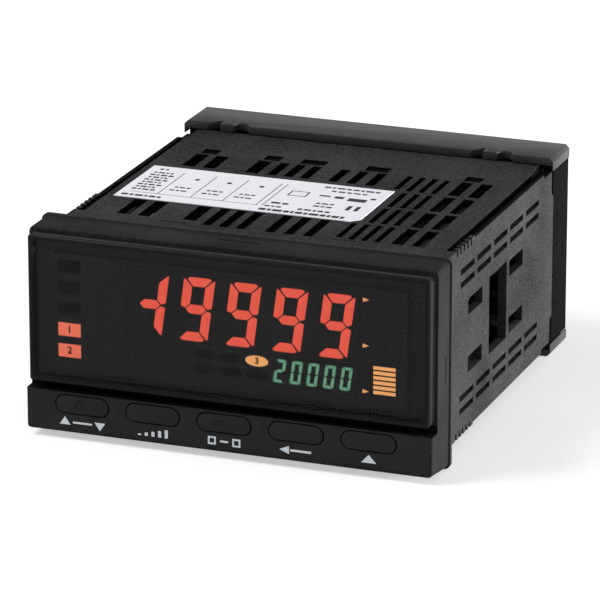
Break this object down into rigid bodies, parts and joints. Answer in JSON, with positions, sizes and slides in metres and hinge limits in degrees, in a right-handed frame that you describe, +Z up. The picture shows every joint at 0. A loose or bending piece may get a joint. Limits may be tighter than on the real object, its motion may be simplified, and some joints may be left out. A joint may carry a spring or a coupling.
{
  "type": "digital panel meter",
  "caption": "Digital panel meter: smoked front with two rows of digits, lamps and a row of keys, a vented case, sliding mounting clips and screw terminals at the rear.",
  "frame": {"origin": "centre of the bezel's rear face, which is the plane of the panel's front", "axes": "+X right as seen from the front, +Y to the rear through the panel, +Z up"},
  "size_m": [0.0968, 0.1051, 0.0488],
  "materials": {
    "bezel_plastic": "fine satin, near black",
    "window_plastic": "glossy smoked cover",
    "key_plastic": "satin, near black",
    "case_plastic": "matt dark grey",
    "clip_plastic": "matt dark grey",
    "terminal_plastic": "matt black",
    "gasket_rubber": "matt black",
    "display_black": "matt black",
    "red_light": "lit red-orange diffuser",
    "green_light": "lit green diffuser",
    "orange_light": "lit orange diffuser",
    "dark_lamp": "unlit diffuser",
    "label_paper": "white film label, print not copied",
    "plated_steel": "nickel plate",
    "circuit_board": "green solder mask",
    "board_parts_black": "black moulding",
    "connector_white": "cream nylon",
    "plunger_plastic": "cream nylon",
    "relay_orange": "orange moulded case",
    "transformer_core": "varnished steel",
    "capacitor_sleeve": "dark blue sleeve"
  },
  "bodies": {
    "housing": {"front_bezel": "bezel_plastic", "display_window": "window_plastic", "key_panel": "key_plastic", "switch_bodies": "board_parts_black", "display_board": "circuit_board", "light_shade": "display_black", "main_digit_module": "display_black", "main_digit_segments": "red_light", "small_digit_module": "display_black", "small_digit_segments": "green_light", "alarm_lamps_lit": "red_light", "alarm_lamps_dark": "dark_lamp", "status_lamp_lit": "orange_light", "status_lamps_dark": "dark_lamp", "pointer_lamps": "orange_light", "bar_lamps": "orange_light", "panel_gasket": "gasket_rubber", "case_shell": "case_plastic", "type_label": "label_paper", "terminal_block_1": "terminal_plastic", "terminal_block_2": "terminal_plastic", "terminal_block_3": "terminal_plastic", "terminal_block_4": "terminal_plastic", "terminal_block_5": "terminal_plastic", "terminal_block_6": "terminal_plastic", "terminal_screws": "plated_steel", "terminal_plates": "plated_steel", "main_board": "circuit_board", "display_connectors": "board_parts_black", "board_connectors": "connector_white", "input_board": "circuit_board", "output_board": "circuit_board", "power_board": "circuit_board", "input_shield": "plated_steel", "processor": "board_parts_black", "output_relays": "relay_orange", "transformer": "transformer_core", "capacitors": "capacitor_sleeve"},
    "key_1": {"key_1": "key_plastic", "switch_plunger_1": "plunger_plastic"},
    "key_2": {"key_2": "key_plastic", "switch_plunger_2": "plunger_plastic"},
    "key_3": {"key_3": "key_plastic", "switch_plunger_3": "plunger_plastic"},
    "key_4": {"key_4": "key_plastic", "switch_plunger_4": "plunger_plastic"},
    "key_5": {"key_5": "key_plastic", "switch_plunger_5": "plunger_plastic"},
    "upper_clip": {"upper_mounting_clip": "clip_plastic"},
    "lower_clip": {"lower_mounting_clip": "clip_plastic"}
  },
  "joints": [
    {"name": "key_1_press", "type": "slide", "parent": "housing", "child": "key_1", "axis": [0, 1, 0], "range_m": [0, 0.0005], "stiffness_N_per_m": 3000},
    {"name": "key_2_press", "type": "slide", "parent": "housing", "child": "key_2", "axis": [0, 1, 0], "range_m": [0, 0.0005], "stiffness_N_per_m": 3000},
    {"name": "key_3_press", "type": "slide", "parent": "housing", "child": "key_3", "axis": [0, 1, 0], "range_m": [0, 0.0005], "stiffness_N_per_m": 3000},
    {"name": "key_4_press", "type": "slide", "parent": "housing", "child": "key_4", "axis": [0, 1, 0], "range_m": [0, 0.0005], "stiffness_N_per_m": 3000},
    {"name": "key_5_press", "type": "slide", "parent": "housing", "child": "key_5", "axis": [0, 1, 0], "range_m": [0, 0.0005], "stiffness_N_per_m": 3000},
    {"name": "upper_clip_slide", "type": "slide", "parent": "housing", "child": "upper_clip", "axis": [0, -1, 0], "range_m": [0, 0.0779]},
    {"name": "lower_clip_slide", "type": "slide", "parent": "housing", "child": "lower_clip", "axis": [0, -1, 0], "range_m": [0, 0.0779]}
  ]
}
